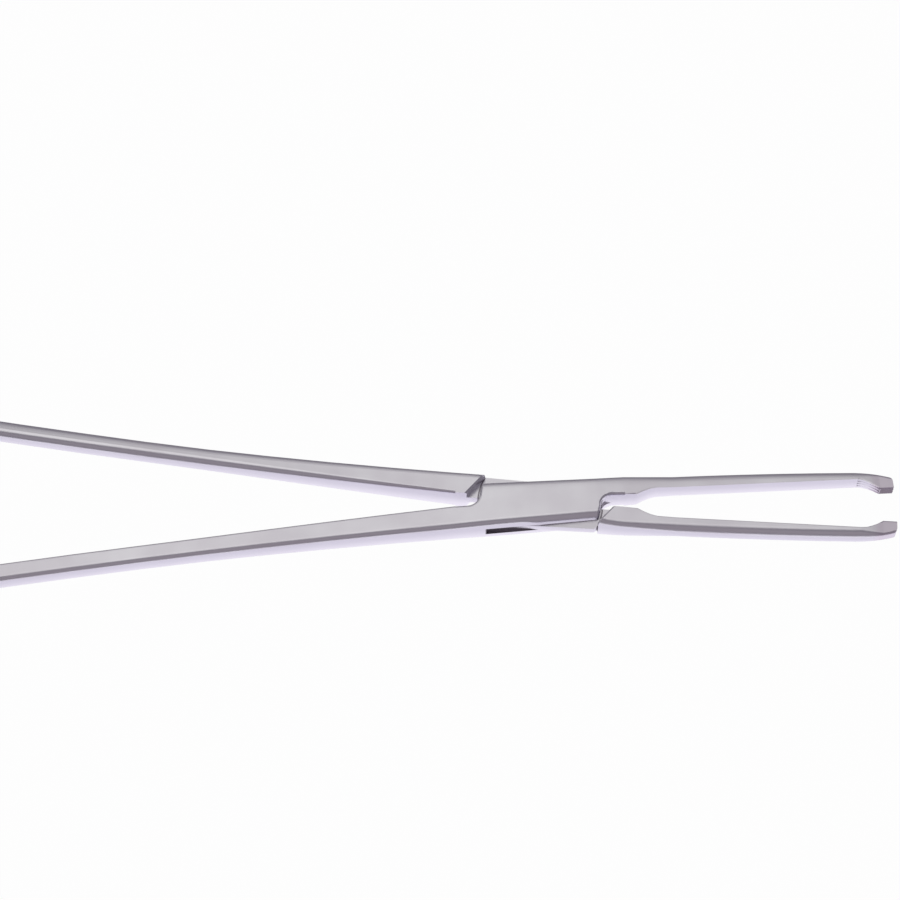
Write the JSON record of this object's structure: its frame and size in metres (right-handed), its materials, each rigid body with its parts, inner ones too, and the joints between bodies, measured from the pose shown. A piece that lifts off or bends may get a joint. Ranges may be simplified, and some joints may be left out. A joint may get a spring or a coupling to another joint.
{
  "type": "box-lock tissue forceps",
  "caption": "Long ring-handled grasping forceps with a box lock, a ratchet and slender jaws whose toothed tips turn inwards.",
  "frame": {"origin": "on the pivot axis, in the flat lower face of the lock", "axes": "+X from the pivot towards the jaw tips, +Y across the handles in the plane of the opening, +Z along the pivot axis, upwards"},
  "size_m": [0.249, 0.0844, 0.0062],
  "materials": {
    "steel": "finely polished stainless steel"
  },
  "bodies": {
    "box": {"box_half": "steel", "pivot_pin": "steel"},
    "tongue": {"tongue_half": "steel"}
  },
  "joints": [
    {"name": "box_lock_hinge", "type": "hinge", "parent": "box", "child": "tongue", "pos_m": [0, 0, 0.0031], "axis": [0, 0, -1], "range_deg": [-6.2, 38]}
  ]
}
